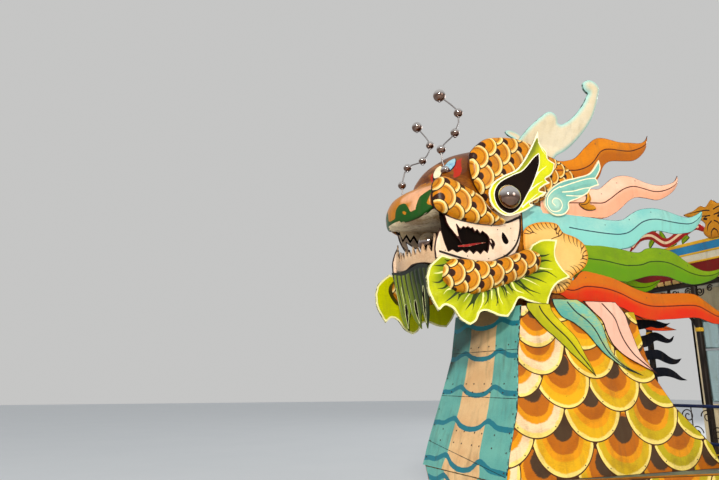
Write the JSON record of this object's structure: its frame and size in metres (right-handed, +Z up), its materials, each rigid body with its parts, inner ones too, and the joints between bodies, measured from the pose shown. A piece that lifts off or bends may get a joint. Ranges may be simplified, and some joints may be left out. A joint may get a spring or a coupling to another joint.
{
  "type": "dragon boat",
  "caption": "River passenger boat with a flat steel hull, a glazed cabin under a low roof, and a tall painted sheet-metal dragon head, neck and tail.",
  "frame": {"origin": "on the centreline at the waterline, amidships", "axes": "+X forward to the dragon's nose, +Y to port, +Z up"},
  "size_m": [12.97, 3.14, 5.3851],
  "materials": {
    "hull_paint": "painted steel plate, ochre scales above the water and dark red below it",
    "gold_paint": "sheet metal painted as overlapping golden scales with cream rims",
    "ochre_paint": "brushed-on orange enamel with pink and dark green swirls",
    "cream_paint": "semi-gloss cream enamel with outlined ornament",
    "green_paint": "yellow-green enamel with cream rims and dark creases",
    "sky_paint": "light blue enamel",
    "teal_paint": "teal enamel",
    "dark_paint": "very dark blue enamel",
    "chrome": "polished stainless steel",
    "aluminium_frame": "satin aluminium door frames",
    "window_glass": "clear float glass",
    "timber": "varnished hardwood",
    "engine_iron": "painted iron",
    "bronze": "cast bronze"
  },
  "bodies": {
    "boat": {"hull": "hull_paint", "strake_port": "sky_paint", "strake_starboard": "sky_paint", "neck": "gold_paint", "neck_scales_port": "gold_paint", "neck_scales_starboard": "gold_paint", "chest_plate": "teal_paint", "back_fins": "dark_paint", "skull": "gold_paint", "snout": "ochre_paint", "lower_jaw": "cream_paint", "pearl": "chrome", "beard": "green_paint", "mouth_plate_port": "cream_paint", "mouth_plate_starboard": "cream_paint", "brow_port": "gold_paint", "brow_starboard": "gold_paint", "jaw_roll_port": "gold_paint", "jaw_roll_starboard": "gold_paint", "frill_port": "green_paint", "frill_starboard": "green_paint", "eye_port": "green_paint", "eye_starboard": "green_paint", "horn_port": "cream_paint", "horn_starboard": "cream_paint", "mane_port": "sky_paint", "mane_starboard": "sky_paint", "locks_port": "teal_paint", "locks_starboard": "teal_paint", "feeler_port": "chrome", "feeler_starboard": "chrome", "cabin_wall_port": "cream_paint", "cabin_wall_starboard": "cream_paint", "cabin_front": "cream_paint", "cabin_rear": "cream_paint", "glass_port": "window_glass", "glass_starboard": "window_glass", "glass_front": "window_glass", "glass_rear": "window_glass", "bench_port": "timber", "bench_starboard": "timber", "helm_console": "timber", "roof": "teal_paint", "fascia": "cream_paint", "portal": "dark_paint", "fore_rail": "dark_paint", "stern_rail": "chrome", "engine_box": "teal_paint", "engine": "engine_iron", "tail": "gold_paint"},
    "port_door": {"front_door_port": "aluminium_frame"},
    "starboard_door": {"front_door_starboard": "aluminium_frame"},
    "aft_door": {"rear_door": "aluminium_frame"},
    "box_lid": {"engine_lid": "teal_paint"},
    "wheel": {"helm_wheel": "timber"},
    "screw": {"propeller": "bronze"},
    "steering": {"rudder": "hull_paint"}
  },
  "joints": [
    {"name": "front_door_port_swing", "type": "hinge", "parent": "boat", "child": "port_door", "pos_m": [0.2083, 0.549, 1.7], "axis": [0, 0, 1], "range_deg": [0, 100]},
    {"name": "front_door_starboard_swing", "type": "hinge", "parent": "boat", "child": "starboard_door", "pos_m": [0.2083, -0.549, 1.7], "axis": [0, 0, -1], "range_deg": [0, 100]},
    {"name": "rear_door_swing", "type": "hinge", "parent": "boat", "child": "aft_door", "pos_m": [-4.4083, -0.949, 1.7], "axis": [0, 0, 1], "range_deg": [0, 100]},
    {"name": "engine_lid_lift", "type": "hinge", "parent": "boat", "child": "box_lid", "pos_m": [-5.24, 0, 1.2003], "axis": [0, 1, 0], "range_deg": [0, 85]},
    {"name": "wheel_turn", "type": "hinge", "parent": "boat", "child": "wheel", "pos_m": [-0.33, 0.93, 1.68], "axis": [1, 0, 0], "range_deg": [-360, 360]},
    {"name": "propeller_spin", "type": "hinge", "parent": "boat", "child": "screw", "pos_m": [-5, 0, -0.2], "axis": [1, 0, 0], "continuous": true},
    {"name": "rudder_turn", "type": "hinge", "parent": "boat", "child": "steering", "pos_m": [-5.42, 0, -0.2], "axis": [0, 0, 1], "range_deg": [-35, 35]}
  ],
  "couplings": [
    {"joint": "wheel_turn", "follows": "rudder_turn", "ratio": 10.286}
  ]
}
